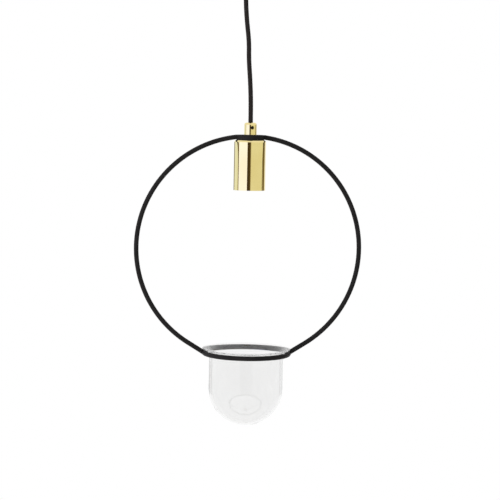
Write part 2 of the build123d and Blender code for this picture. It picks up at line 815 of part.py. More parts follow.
# Screw shell: E27 shell with a flanged top and a hole for its rivet
with BuildPart() as screw_shell:
    add(tube(shell_r, shell_bore_r, insert_bottom_z, shell_top_z, lamp_x))
    add(tube(shell_bore_r, shell_flange_hole_d / 2, shell_top_z - shell_wall, shell_top_z, lamp_x))
    with BuildSketch(level(lamp_x, shell_top_z - shell_wall)):
        with Locations((0, shell_rivet_y)):
            Circle(rivet_d / 2 + thread_clearance)
    extrude(amount=shell_wall, mode=Mode.SUBTRACT)
screw_shell.part.label = "screw_shell"
export_step(screw_shell.part, "parts/screw_shell.step")

# Centre contact: bronze leaf in the insert's recess, sprung down towards the bulb's tip
leaf_low_z = recess_top_z - leaf_drop
bend_x = leaf_base - leaf_half_length
with BuildPart() as centre_contact:
    with BuildSketch(lamp_section):
        with BuildLine():
            Polyline(
                (-leaf_half_length, recess_top_z),
                (bend_x, recess_top_z),
                (leaf_half_length - leaf_tip, leaf_low_z),
                (leaf_half_length, leaf_low_z),
                (leaf_half_length, leaf_low_z - leaf_sheet),
                (leaf_half_length - leaf_tip, leaf_low_z - leaf_sheet),
                (bend_x, recess_top_z - leaf_sheet),
                (-leaf_half_length, recess_top_z - leaf_sheet),
                close=True,
            )
        make_face()
    extrude(amount=leaf_width / 2, both=True)
    with BuildSketch(level(lamp_x, recess_top_z)):
        with Locations((leaf_rivet_x, 0)):
            Circle(rivet_d / 2 + thread_clearance)
    extrude(amount=-leaf_sheet, mode=Mode.SUBTRACT)
centre_contact.part.label = "centre_contact"
export_step(centre_contact.part, "parts/centre_contact.step")

# Contact rivets: one with a head holds the leaf, a flush one the shell's flange
leaf_rivet_seat = facing_down(lamp_x + leaf_rivet_x, recess_top_z - leaf_sheet)
shell_rivet_seat = facing_down(lamp_x, shell_top_z - shell_wall, shell_rivet_y)
with BuildPart() as contact_rivets:
    with BuildSketch(leaf_rivet_seat):
        Circle(rivet_head_d / 2)
    extrude(amount=rivet_head_height)
    for seat, sheet in ((leaf_rivet_seat, leaf_sheet), (shell_rivet_seat, shell_wall)):
        with BuildSketch(seat):
            Circle(rivet_d / 2)
        extrude(amount=-(sheet + rivet_length))
contact_rivets.part.label = "contact_rivets"
export_step(contact_rivets.part, "parts/contact_rivets.step")

# Socket terminals: two brass posts on the insert, with a hole for the core and a tapped hole on top
post_mid_z = insert_top_z + post_height / 2
post_top_z = insert_top_z + post_height
post_bore_r = core_r + thread_clearance
with BuildPart() as socket_terminals:
    for side in (-1, 1):
        with Locations((lamp_x, side * post_y, post_mid_z)):
            Box(post_size, post_size, post_height)
    with BuildSketch(lamp_section):
        with Locations((0, post_mid_z)):
            Circle(post_bore_r)
    extrude(amount=post_y, both=True, mode=Mode.SUBTRACT)
    with BuildSketch(level(lamp_x, post_mid_z)):
        with GridLocations(0, 2 * post_y, 1, 2):
            Circle(post_screw_d / 2 + thread_clearance)
    extrude(amount=post_height / 2, mode=Mode.SUBTRACT)
socket_terminals.part.label = "socket_terminals"
export_step(socket_terminals.part, "parts/socket_terminals.step")

# Terminal screws of the posts
post_screw_length = post_height / 2 - core_r - thread_clearance
with BuildPart() as socket_terminal_screws:
    for side in (-1, 1):
        seat = level(lamp_x, post_top_z, side * post_y)
        add(slotted_screw(seat, post_screw_d, post_screw_length, post_head_d, post_head_height))
socket_terminal_screws.part.label = "socket_terminal_screws"
export_step(socket_terminal_screws.part, "parts/socket_terminal_screws.step")

# Cores in the cup: from the cord's end to the posts and to the earth screw
core_drop_z = (cord_end_bottom_z + post_mid_z) / 2
post_face_y = post_y - post_size / 2


def socket_core(side):
    """Route of a current-carrying core, into the post on the given side."""
    return [
        (lamp_x - fan_out, side * fan_side, cord_end_bottom_z),
        (lamp_x - fan_out, side * fan_side, core_drop_z),
        (lamp_x, side * (post_face_y - core_d), post_mid_z),
        (lamp_x, side * (post_face_y + core_in_post), post_mid_z),
    ]


with BuildPart() as live_core:
    add(core(socket_core(-1)))
live_core.part.label = "live_core"
export_step(live_core.part, "parts/live_core.step")

with BuildPart() as neutral_core:
    add(core(socket_core(1)))
neutral_core.part.label = "neutral_core"
export_step(neutral_core.part, "parts/neutral_core.step")

with BuildPart() as earth_core:
    with BuildLine() as earth_route:
        FilletPolyline(
            (lamp_x + core_ring_r, 0, cord_end_bottom_z),
            (lamp_x + core_ring_r, 0, leg_screw_z),
            (lamp_x + leg_inside - bridge_head_height, 0, leg_screw_z),
            radius=core_bend_r,
        )
    with BuildSketch(Plane(origin=earth_route.line @ 0, z_dir=earth_route.line % 0)):
        Circle(core_r)
    sweep(path=earth_route.line)
earth_core.part.label = "earth_core"
export_step(earth_core.part, "parts/earth_core.step")

# Glass vase: hemisphere, straight wall, and a lip that flares out over the ring
inner_r = vase_r - vase_wall
lip_round_r = vase_lip_wall / 2
lip_x = lip_edge_r - lip_round_r
lip_reach = rod_r + vase_rest_gap + lip_round_r
lip_z = ring_z + (lip_reach + (lip_x - ring_r) * sin(rod_slope)) / cos(rod_slope)
flare_x = vase_r + vase_flare_r
middle_flare_r = vase_flare_r + lip_round_r
lip_angle = acos((flare_x - lip_x) / middle_flare_r)
neck_z = lip_z - middle_flare_r * sin(lip_angle)
dome_z = neck_z - vase_straight
slope = sqrt(0.5)


def flare_point(radius, angle):
    """A point of the flare, with the angle measured up from where the bend begins."""
    return (flare_x - radius * cos(angle), neck_z + radius * sin(angle))


lip_tip = (lip_x + lip_round_r * sin(lip_angle), lip_z + lip_round_r * cos(lip_angle))
lip_under = flare_point(vase_flare_r, lip_angle)
lip_top = flare_point(vase_flare_r + vase_lip_wall, lip_angle)
with BuildPart() as glass_vase:
    with BuildSketch(lamp_section):
        with BuildLine():
            ThreePointArc((0, dome_z - vase_r), (vase_r * slope, dome_z - vase_r * slope), (vase_r, dome_z))
            Line((vase_r, dome_z), (vase_r, neck_z))
            ThreePointArc((vase_r, neck_z), flare_point(vase_flare_r, lip_angle / 2), lip_under)
            ThreePointArc(lip_under, lip_tip, lip_top)
            TangentArc((inner_r, neck_z), lip_top, tangent=(0, 1))
            Line((inner_r, neck_z), (inner_r, dome_z))
            ThreePointArc(
                (inner_r, dome_z),
                (inner_r * slope, dome_z - inner_r * slope),
                (0, dome_z - inner_r),
            )
            Line((0, dome_z - inner_r), (0, dome_z - vase_r))
        make_face()
    revolve(axis=lamp_axis)
glass_vase.part.label = "glass_vase"
export_step(glass_vase.part, "parts/glass_vase.step")
print("hoop centre z", round(hoop_z, 2), "ring z", round(ring_z, 2))
print("vase neck z", round(neck_z, 3), "dome z", round(dome_z, 3))
print("vase lip angle", round(degrees(lip_angle), 2))
print("vase lip top z", round(lip_z + lip_round_r, 2), "vase bottom z", round(dome_z - vase_r, 2))
print("cup top z", round(cup_top_z, 2), "shell mouth z", round(insert_bottom_z, 2), "lamp x", lamp_x)
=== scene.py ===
"""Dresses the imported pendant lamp: finishes, a braided cord, a blown glass vase and a white studio.

Metres, +Z up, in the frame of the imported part. The origin is the centre of the ceiling face, the hoop stands
in the XZ plane and -Y is the front.
"""

import json
import logging
import math
from dataclasses import dataclass, field
from enum import Enum
from typing import Protocol

import bpy
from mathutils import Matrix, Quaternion, Vector


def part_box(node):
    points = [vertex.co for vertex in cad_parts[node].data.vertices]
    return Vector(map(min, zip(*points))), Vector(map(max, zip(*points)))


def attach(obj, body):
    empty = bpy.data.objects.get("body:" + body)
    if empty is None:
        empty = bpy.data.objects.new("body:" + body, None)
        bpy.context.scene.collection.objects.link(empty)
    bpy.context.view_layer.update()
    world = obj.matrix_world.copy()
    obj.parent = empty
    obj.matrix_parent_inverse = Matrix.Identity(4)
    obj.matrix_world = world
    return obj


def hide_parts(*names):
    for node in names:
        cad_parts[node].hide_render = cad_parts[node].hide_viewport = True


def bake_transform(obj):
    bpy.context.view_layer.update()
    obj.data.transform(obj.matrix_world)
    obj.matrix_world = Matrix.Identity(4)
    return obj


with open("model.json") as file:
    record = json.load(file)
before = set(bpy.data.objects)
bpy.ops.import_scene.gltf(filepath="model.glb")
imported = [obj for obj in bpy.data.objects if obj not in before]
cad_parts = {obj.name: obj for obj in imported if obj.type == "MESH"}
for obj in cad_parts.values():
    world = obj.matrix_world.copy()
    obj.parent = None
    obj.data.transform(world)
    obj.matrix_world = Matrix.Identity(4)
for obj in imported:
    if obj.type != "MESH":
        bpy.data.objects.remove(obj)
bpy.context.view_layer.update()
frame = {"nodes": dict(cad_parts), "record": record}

Pair = tuple[float, float]
Point = tuple[float, float, float]
Colour = tuple[float, float, float, float]

LAMP_X = 0.0105
HOOP_Z = -0.43963
SHARP_ANGLE = math.radians(40)
WHITE: Colour = (1.0, 1.0, 1.0, 1.0)
LEVEL_SIDE = Vector((0.0, 1.0, 0.0))
# Most values of a noise texture lie between these two.
NOISE_LOW = 0.3
NOISE_HIGH = 0.7

log = logging.getLogger("pendant_lamp")


class Body(Enum):
    """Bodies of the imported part."""

    ROSE = "ceiling_rose"
    CORD = "cord"
    LAMP = "lamp"
    VASE = "vase"


class Slot(Enum):
    """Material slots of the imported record."""

    BLACK_COAT = "black_coat"
    BRASS = "polished_brass"
    TEXTILE = "black_textile"
    STEEL = "bright_steel"
    CERAMIC = "white_ceramic"
    GLASS = "clear_glass"
    BRONZE = "contact_bronze"
    DARK_STEEL = "blackened_steel"
    WHITE = "white_plastic"
    BROWN = "brown_insulation"
    BLUE = "blue_insulation"
    EARTH = "earth_insulation"


class Recipe:
    """A material in the making: a Principled shader and the textures that feed it."""

    def __init__(self, name: str) -> None:
        """Starts a material.

        Args:
            name: The material's name.
        """
        self.material = bpy.data.materials.new(name)
        self.material.use_nodes = True
        self.nodes = self.material.node_tree.nodes
        self.links = self.material.node_tree.links
        self.shader = self.nodes["Principled BSDF"]
        self.place = self.nodes.new("ShaderNodeTexCoord").outputs["Object"]
        self.relief_end: bpy.types.NodeSocket | None = None

    def fix(self, **values: float) -> None:
        """Sets sockets of the shader that are the same all over.

        Args:
            values: Socket values, by the socket's name with its spaces as underscores.
        """
        for name, value in values.items():
            self.shader.inputs[name.replace("_", " ")].default_value = value

    def stretched(self, stretch: Point) -> bpy.types.NodeSocket:
        """The place on the piece, scaled along each axis.

        Args:
            stretch: Scale along X, Y and Z.

        Returns:
            The vector socket.
        """
        mapping = self.nodes.new("ShaderNodeMapping")
        mapping.inputs["Scale"].default_value = stretch
        self.links.new(self.place, mapping.inputs["Vector"])
        return mapping.outputs["Vector"]

    def noise(self, scale: float, detail: float = 2.0, stretch: Point = (1, 1, 1)) -> bpy.types.NodeSocket:
        """A cloudy texture.

        Args:
            scale: Clouds per metre.
            detail: Finer octaves.
            stretch: Scale along X, Y and Z.

        Returns:
            The texture's value socket.
        """
        texture = self.nodes.new("ShaderNodeTexNoise")
        texture.inputs["Scale"].default_value = scale
        texture.inputs["Detail"].default_value = detail
        self.links.new(self.stretched(stretch), texture.inputs["Vector"])
        return texture.outputs["Fac"]

    def cells(self, scale: float) -> bpy.types.NodeSocket:
        """A texture of flat cells, each of its own value.

        Args:
            scale: Cells per metre.

        Returns:
            The texture's colour socket.
        """
        texture = self.nodes.new("ShaderNodeTexVoronoi")
        texture.inputs["Scale"].default_value = scale
        self.links.new(self.place, texture.inputs["Vector"])
        return texture.outputs["Color"]

    def tint(self, value: bpy.types.NodeSocket, low: Colour, high: Colour) -> None:
        """Spreads the base colour between two colours.

        Args:
            value: What the colour follows.
            low: Colour at low values.
            high: Colour at high values.
        """
        ramp = self.nodes.new("ShaderNodeValToRGB")
        ramp.color_ramp.elements[0].position = NOISE_LOW
        ramp.color_ramp.elements[0].color = low
        ramp.color_ramp.elements[1].position = NOISE_HIGH
        ramp.color_ramp.elements[1].color = high
        self.links.new(value, ramp.inputs["Fac"])
        self.links.new(ramp.outputs["Color"], self.shader.inputs["Base Color"])

    def gloss(self, value: bpy.types.NodeSocket, low: float, high: float) -> None:
        """Spreads the roughness between two values.

        Args:
            value: What the roughness follows.
            low: Roughness at low values.
            high: Roughness at high values.
        """
        spread = self.nodes.new("ShaderNodeMapRange")
        spread.inputs["From Min"].default_value = NOISE_LOW
        spread.inputs["From Max"].default_value = NOISE_HIGH
        spread.inputs["To Min"].default_value = low
        spread.inputs["To Max"].default_value = high
        self.links.new(value, spread.inputs["Value"])
        self.links.new(spread.outputs["Result"], self.shader.inputs["Roughness"])

    def relief(self, height: bpy.types.NodeSocket, depth: float, strength: float = 1.0) -> None:
        """Adds a fine relief to those that are there.

        Args:
            height: The relief's height, from 0 to 1.
            depth: Its depth in metres.
            strength: Its share.
        """
        bump = self.nodes.new("ShaderNodeBump")
        bump.inputs["Strength"].default_value = strength
        bump.inputs["Distance"].default_value = depth
        self.links.new(height, bump.inputs["Height"])
        if self.relief_end is not None:
            self.links.new(self.relief_end, bump.inputs["Normal"])
        self.relief_end = bump.outputs["Normal"]
        self.links.new(self.relief_end, self.shader.inputs["Normal"])


class Finish(Protocol):
    """What every finish can do."""

    def make(self, name: str) -> bpy.types.Material:
        """Makes the finish's material under a name."""


@dataclass(frozen=True)
class SpunMetal:
    """Bare metal that was spun, turned or rolled, with faint turning lines and handling marks."""

    dark: Colour
    light: Colour
    smooth: float = 0.035
    dull: float = 0.075
    cloud: float = 90.0
    turning_lines: float = 1500.0
    line_depth: float = 0.000002

    def make(self, name: str) -> bpy.types.Material:
        """Makes the metal.

        Args:
            name: The material's name.

        Returns:
            The material.
        """
        recipe = Recipe(name)
        recipe.fix(Metallic=1.0)
        recipe.tint(recipe.noise(self.cloud / 3, detail=3.0), self.dark, self.light)
        recipe.gloss(recipe.noise(self.cloud, detail=5.0), self.smooth, self.dull)
        lines = recipe.noise(1.0, detail=1.0, stretch=(20.0, 20.0, self.turning_lines))
        recipe.relief(lines, self.line_depth)
        return recipe.material


@dataclass(frozen=True)
class ZincPlate:
    """Zinc-plated steel with a soft spangle."""

    dark: Colour = (0.46, 0.47, 0.48, 1.0)
    light: Colour = (0.66, 0.66, 0.65, 1.0)
    smooth: float = 0.26
    dull: float = 0.42
    spangle: float = 700.0
    grain: float = 5000.0
    grain_depth: float = 0.00001

    def make(self, name: str) -> bpy.types.Material:
        """Makes the plated steel.

        Args:
            name: The material's name.

        Returns:
            The material.
        """
        recipe = Recipe(name)
        recipe.fix(Metallic=1.0)
        recipe.tint(recipe.cells(self.spangle), self.dark, self.light)
        recipe.gloss(recipe.noise(self.spangle, detail=3.0), self.smooth, self.dull)
        recipe.relief(recipe.noise(self.grain), self.grain_depth)
        return recipe.material


@dataclass(frozen=True)
class PowderCoat:
    """Satin powder coat with a fine orange-peel skin."""

    dark: Colour = (0.013, 0.0122, 0.0122, 1.0)
    light: Colour = (0.019, 0.0178, 0.0178, 1.0)
    shine: float = 0.05
    smooth: float = 0.4
    dull: float = 0.52
    peel: float = 1400.0
    peel_depth: float = 0.00006
    cloud: float = 60.0

    def make(self, name: str) -> bpy.types.Material:
        """Makes the coat.

        Args:
            name: The material's name.

        Returns:
            The material.
        """
        recipe = Recipe(name)
        recipe.fix(Specular_IOR_Level=self.shine)
        recipe.tint(recipe.noise(self.cloud, detail=4.0), self.dark, self.light)
        recipe.gloss(recipe.noise(self.peel / 2, detail=3.0), self.smooth, self.dull)
        recipe.relief(recipe.noise(self.peel), self.peel_depth, strength=0.5)
        return recipe.material


@dataclass(frozen=True)
class BraidYarn:
    """Black rayon yarn, with a little sheen and its own fine filaments."""

    dark: Colour = (0.014, 0.0118, 0.0114, 1.0)
    light: Colour = (0.032, 0.027, 0.026, 1.0)
    shine: float = 0.06
    smooth: float = 0.5
    dull: float = 0.75
    filament: float = 9000.0
    filament_depth: float = 0.00006
    sheen: float = 0.02
    sheen_spread: float = 0.4

    def make(self, name: str) -> bpy.types.Material:
        """Makes the yarn.

        Args:
            name: The material's name.

        Returns:
            The material.
        """
        recipe = Recipe(name)
        recipe.fix(Specular_IOR_Level=self.shine, Sheen_Weight=self.sheen, Sheen_Roughness=self.sheen_spread)
        recipe.tint(recipe.noise(self.filament / 6, detail=4.0), self.dark, self.light)
        recipe.gloss(recipe.noise(self.filament / 3), self.smooth, self.dull)
        filaments = recipe.noise(self.filament, stretch=(1.0, 1.0, 0.4))
        recipe.relief(filaments, self.filament_depth, strength=0.6)
        return recipe.material


@dataclass(frozen=True)
class BlownGlass:
    """Clear blown glass with slow waves in its skin."""

    dark: Colour = (0.912, 0.912, 0.91, 1.0)
    light: Colour = (0.928, 0.928, 0.926, 1.0)
    index: float = 1.7
    smooth: float = 0.0
    dull: float = 0.006
    wave: float = 30.0
    wave_depth: float = 0.00006

    def make(self, name: str) -> bpy.types.Material:
        """Makes the glass.

        Args:
            name: The material's name.

        Returns:
            The material.
        """
        recipe = Recipe(name)
        recipe.fix(Transmission_Weight=1.0, IOR=self.index)
        recipe.tint(recipe.noise(self.wave, detail=1.0), self.dark, self.light)
        recipe.gloss(recipe.noise(self.wave * 8, detail=4.0), self.smooth, self.dull)
        waves = recipe.noise(self.wave, detail=0.0, stretch=(1.0, 1.0, 2.5))
        recipe.relief(waves, self.wave_depth)
        return recipe.material


@dataclass(frozen=True)
class GlazedCeramic:
    """Glazed electrical ceramic, with fine specks and a wavy glaze."""

    dark: Colour = (0.76, 0.745, 0.70, 1.0)
    light: Colour = (0.85, 0.84, 0.80, 1.0)
    smooth: float = 0.1
    dull: float = 0.22
    speck: float = 1800.0
    glaze_wave: float = 220.0
    glaze_depth: float = 0.00008
    coat: float = 0.6

    def make(self, name: str) -> bpy.types.Material:
        """Makes the ceramic.

        Args:
            name: The material's name.

        Returns:
            The material.
        """
        recipe = Recipe(name)
        recipe.fix(Coat_Weight=self.coat)
        recipe.tint(recipe.noise(self.speck, detail=5.0), self.dark, self.light)
        recipe.gloss(recipe.noise(self.glaze_wave, detail=3.0), self.smooth, self.dull)
        recipe.relief(recipe.noise(self.glaze_wave), self.glaze_depth, strength=0.5)
        return recipe.material


@dataclass(frozen=True)
class MouldedPlastic:
    """Moulded or drawn plastic with a fine grain."""

    dark: Colour
    light: Colour
    smooth: float = 0.38
    dull: float = 0.52
    grain: float = 3500.0
    grain_depth: float = 0.00003
    cloud: float = 160.0

    def make(self, name: str) -> bpy.types.Material:
        """Makes the plastic.

        Args:
            name: The material's name.

        Returns:
            The material.
        """
        recipe = Recipe(name)
        recipe.tint(recipe.noise(self.cloud, detail=4.0), self.dark, self.light)
        recipe.gloss(recipe.noise(self.grain / 3, detail=3.0), self.smooth, self.dull)
        recipe.relief(recipe.noise(self.grain), self.grain_depth, strength=0.5)
        return recipe.material


@dataclass(frozen=True)
class StripedPlastic(MouldedPlastic):
    """Earth insulation: the dark colour runs along the core in a band on its top and bottom."""

    band: float = 0.00045

    def make(self, name: str) -> bpy.types.Material:
        """Makes the striped plastic.

        Args:
            name: The material's name.

        Returns:
            The material.
        """
        material = super().make(name)
        nodes = material.node_tree.nodes
        links = material.node_tree.links
        place = nodes.new("ShaderNodeTexCoord").outputs["Object"]
        parts = nodes.new("ShaderNodeSeparateXYZ")
        links.new(place, parts.inputs["Vector"])
        size = nodes.new("ShaderNodeMath")
        size.operation = "ABSOLUTE"
        links.new(parts.outputs["Y"], size.inputs[0])
        outside = nodes.new("ShaderNodeMath")
        outside.operation = "GREATER_THAN"
        outside.inputs[1].default_value = self.band
        links.new(size.outputs["Value"], outside.inputs[0])
        ramp = next(n for n in nodes if n.type == "VALTORGB")
        links.new(outside.outputs["Value"], ramp.inputs["Fac"])
        return material


FINISHES: dict[Slot, Finish] = {
    Slot.BLACK_COAT: PowderCoat(),
    Slot.BRASS: SpunMetal(dark=(0.83, 0.69, 0.32, 1.0), light=(0.87, 0.74, 0.37, 1.0)),
    Slot.TEXTILE: BraidYarn(),
    Slot.STEEL: ZincPlate(),
    Slot.CERAMIC: GlazedCeramic(),
    Slot.GLASS: BlownGlass(),
    Slot.BRONZE: SpunMetal(
        dark=(0.55, 0.34, 0.17, 1.0),
        light=(0.72, 0.50, 0.28, 1.0),
        smooth=0.2,
        dull=0.34,
    ),
    Slot.DARK_STEEL: ZincPlate(dark=(0.02, 0.016, 0.012, 1.0), light=(0.045, 0.037, 0.028, 1.0)),
    Slot.WHITE: MouldedPlastic(dark=(0.78, 0.78, 0.755, 1.0), light=(0.85, 0.85, 0.83, 1.0)),
    Slot.BROWN: MouldedPlastic(dark=(0.16, 0.06, 0.022, 1.0), light=(0.22, 0.09, 0.034, 1.0)),
    Slot.BLUE: MouldedPlastic(dark=(0.04, 0.12, 0.42, 1.0), light=(0.055, 0.165, 0.53, 1.0)),
    Slot.EARTH: StripedPlastic(dark=(0.09, 0.36, 0.06, 1.0), light=(0.72, 0.58, 0.03, 1.0)),
}


@dataclass
class Palette:
    """The materials, each made once."""

    made: dict[Slot, bpy.types.Material] = field(default_factory=dict)

    def of(self, slot: Slot) -> bpy.types.Material:
        """The material of a slot.

        Args:
            slot: The record's material slot.

        Returns:
            The slot's material.
        """
        if slot not in self.made:
            self.made[slot] = FINISHES[slot].make(slot.value)
        return self.made[slot]

    def dress(self, piece: bpy.types.Object, slot: Slot) -> bpy.types.Object:
        """Gives a piece the material of a slot.

        Args:
            piece: The piece.
            slot: The record's material slot.

        Returns:
            The piece.
        """
        piece.data.materials.clear()
        piece.data.materials.append(self.of(slot))
        return piece

    def dress_nodes(self, names: tuple[str, ...]) -> list[bpy.types.Object]:
        """Gives CAD nodes the materials that the record names for them.

        Args:
            names: The nodes.

        Returns:
            The nodes' objects.
        """
        slots = {row["node"]: Slot(row["material_slot"]) for row in frame["record"]["subparts"]}
        return [self.dress(frame["nodes"][name], slots[name]) for name in names]


@dataclass
class MeshMaker:
    """Collects points and faces for one smooth mesh."""

    points: list[Vector] = field(default_factory=list)
    faces: list[tuple[int, ...]] = field(default_factory=list)

    def ring(self, points: list[Vector]) -> list[int]:
        """Adds the points of one ring.

        Args:
            points: The ring's points, in order.

        Returns:
            Their numbers.
        """
        start = len(self.points)
        self.points.extend(points)
        return list(range(start, len(self.points)))

    def join(self, first: list[int], second: list[int]) -> None:
        """Adds the faces between two rings, either of which may be a single point.

        Args:
            first: Numbers of the first ring.
            second: Numbers of the second ring.
        """
        count = max(len(first), len(second))
        for i in range(count):
            j = (i + 1) % count
            corners = [
                first[i % len(first)],
                first[j % len(first)],
                second[j % len(second)],
                second[i % len(second)],
            ]
            self.faces.append(tuple(dict.fromkeys(corners)))

    def cap(self, ring: list[int], turned: bool = False) -> None:
        """Closes a ring with one face.

        Args:
            ring: Numbers of the ring.
            turned: Whether the face looks the other way.
        """
        self.faces.append(tuple(reversed(ring)) if turned else tuple(ring))

    def make(self, name: str) -> bpy.types.Object:
        """Makes the object.

        Args:
            name: The piece's name.

        Returns:
            The object, in the scene.
        """
        mesh = bpy.data.meshes.new(name)
        mesh.from_pydata(self.points, [], self.faces)
        mesh.validate()
        mesh.shade_smooth()
        mesh.set_sharp_from_angle(angle=SHARP_ANGLE)
        piece = bpy.data.objects.new(name, mesh)
        bpy.context.scene.collection.objects.link(piece)
        return piece


def lathe(name: str, profile: list[Pair], segments: int) -> bpy.types.Object:
    """Turns a profile about the lamp axis.

    Args:
        name: The piece's name.
        profile: Radius and height of each point, anticlockwise as seen from the front on the right-hand side.
        segments: Faces round the axis.

    Returns:
        The turned piece.
    """
    maker = MeshMaker()
    rings = []
    for radius, height in profile:
        if radius == 0:
            rings.append(maker.ring([Vector((LAMP_X, 0, height))]))
            continue
        turns = [2 * math.pi * i / segments for i in range(segments)]
        points = [Vector((LAMP_X + radius * math.cos(t), radius * math.sin(t), height)) for t in turns]
        rings.append(maker.ring(points))
    for first, second in zip(rings, rings[1:]):
        maker.join(first, second)
    return maker.make(name)


def arc(centre: Pair, radius: float, start: float, stop: float, steps: int) -> list[Pair]:
    """Points of an arc in a profile.

    Args:
        centre: Radius and height of the arc's centre.
        radius: The arc's radius.
        start: Angle of the first point in degrees, from outwards towards up.
        stop: Angle of the last point.
        steps: Number of runs.

    Returns:
        The points, both ends among them.
    """
    turns = [math.radians(start + (stop - start) * i / steps) for i in range(steps + 1)]
    return [(centre[0] + radius * math.cos(t), centre[1] + radius * math.sin(t)) for t in turns]


@dataclass
class PhotoCamera:
    """The camera of the photograph."""

    aim: Point = (LAMP_X, 0.0, HOOP_Z)
    azimuth: float = -5.5
    elevation: float = 4.4
    distance: float = 2.5
    lens: float = 121.01
    roll: float = 1.1
    shift: Pair = (0.0036, -0.00324)

    def back(self) -> Vector:
        """The direction from the lamp to the camera.

        Returns:
            A unit vector.
        """
        turn, tilt = math.radians(self.azimuth), math.radians(self.elevation)
        return Vector((math.sin(turn) * math.cos(tilt), -math.cos(turn) * math.cos(tilt), math.sin(tilt)))

    def build(self) -> bpy.types.Object:
        """Makes the camera and gives it to the scene.

        Returns:
            The camera.
        """
        lens = bpy.data.cameras.new("photo_camera")
        lens.lens = self.lens
        lens.shift_x, lens.shift_y = self.shift
        camera = bpy.data.objects.new("photo_camera", lens)
        bpy.context.scene.collection.objects.link(camera)
        camera.location = Vector(self.aim) + self.back() * self.distance
        camera.rotation_mode = "QUATERNION"
        roll = Quaternion((0, 0, 1), math.radians(self.roll))
        camera.rotation_quaternion = (-self.back()).to_track_quat("-Z", "Y") @ roll
        bpy.context.scene.camera = camera
        return camera


@dataclass
class Braid:
    """A textile braid: two sets of flat yarns over a sheath, each two over and two under."""

    diameter: float = 0.007
    yarns: int = 12
    lay: float = 0.022
    yarn_width: float = 0.00126
    yarn_height: float = 0.0005
    wave: float = 0.00022
    step: float = 0.0005
    yarn_sides: int = 6
    sheath_sides: int = 20

    def weave(self, name: str, line: list[Vector]) -> bpy.types.Object:
        """Makes the braid along a line that lies in the XZ plane.

        Args:
            name: The piece's name.
            line: Points of the cord's centreline.

        Returns:
            The braided piece.
        """
        maker = MeshMaker()
        stations = self.stations(line)
        middle = self.diameter / 2 - self.yarn_height / 2 - self.wave
        self.sheath(maker, stations, middle)
        for direction in (1, -1):
            for number in range(self.yarns):
                self.yarn(maker, stations, middle, direction, number)
        return maker.make(name)

    def stations(self, line: list[Vector]) -> list[tuple[float, Vector, Vector]]:
        """Evenly spaced places along a line.

        Args:
            line: Points of the line.

        Returns:
            The length so far, the place and the direction there.
        """
        runs = [(b - a).length for a, b in zip(line, line[1:])]
        total = sum(runs)
        count = max(2, round(total / self.step))
        found = []
        run, done = 0, 0.0
        for i in range(count + 1):
            length = total * i / count
            while run < len(runs) - 1 and length > done + runs[run]:
                done += runs[run]
                run += 1
            share = (length - done) / runs[run]
            found.append((length, line[run].lerp(line[run + 1], share)))
        directions = []
        for i in range(count + 1):
            before, after = found[max(i - 1, 0)][1], found[min(i + 1, count)][1]
            directions.append((after - before).normalized())
        return [(length, place, way) for (length, place), way in zip(found, directions)]

    def sheath(self, maker: MeshMaker, stations: list[tuple[float, Vector, Vector]], middle: float) -> None:
        """Adds the sheath under the yarns.

        Args:
            maker: The mesh to add to.
            stations: Places along the cord.
            middle: Mean radius of the yarns.
        """
        radius = middle - self.wave
        rings = []
        for _, place, way in stations:
            other = way.cross(LEVEL_SIDE)
            turns = [2 * math.pi * i / self.sheath_sides for i in range(self.sheath_sides)]
            points = [place + radius * (math.cos(t) * LEVEL_SIDE + math.sin(t) * other) for t in turns]
            rings.append(maker.ring(points))
        for first, second in zip(rings, rings[1:]):
            maker.join(first, second)
        maker.cap(rings[0], turned=True)
        maker.cap(rings[-1])

    def yarn(
        self,
        maker: MeshMaker,
        stations: list[tuple[float, Vector, Vector]],
        middle: float,
        direction: int,
        number: int,
    ) -> None:
        """Adds one yarn of the braid.

        Args:
            maker: The mesh to add to.
            stations: Places along the cord.
            middle: Mean radius of the yarns.
            direction: 1 or -1, the way that the yarn winds.
            number: The yarn's number in its set.
        """
        slope = math.atan2(2 * math.pi * middle, self.lay)
        corners = [2 * math.pi * i / self.yarn_sides for i in range(self.yarn_sides)]
        rings = []
        for length, place, way in stations:
            other = way.cross(LEVEL_SIDE)
            turn = direction * 2 * math.pi * length / self.lay + 2 * math.pi * number / self.yarns
            crossing = math.pi * self.yarns * length / self.lay - math.pi / 4
            radius = middle + direction * self.wave * math.cos(crossing)
            out = math.cos(turn) * LEVEL_SIDE + math.sin(turn) * other
            round_about = way.cross(out)
            along = way * math.cos(slope) + round_about * (direction * math.sin(slope))
            across = along.cross(out)
            centre = place + radius * out
            points = [
                centre
                + across * (self.yarn_width / 2 * math.cos(c))
                + out * (self.yarn_height / 2 * math.sin(c))
                for c in corners
            ]
            rings.append(maker.ring(points))
        for first, second in zip(rings, rings[1:]):
            maker.join(second, first)
        maker.cap(rings[0])
        maker.cap(rings[-1], turned=True)


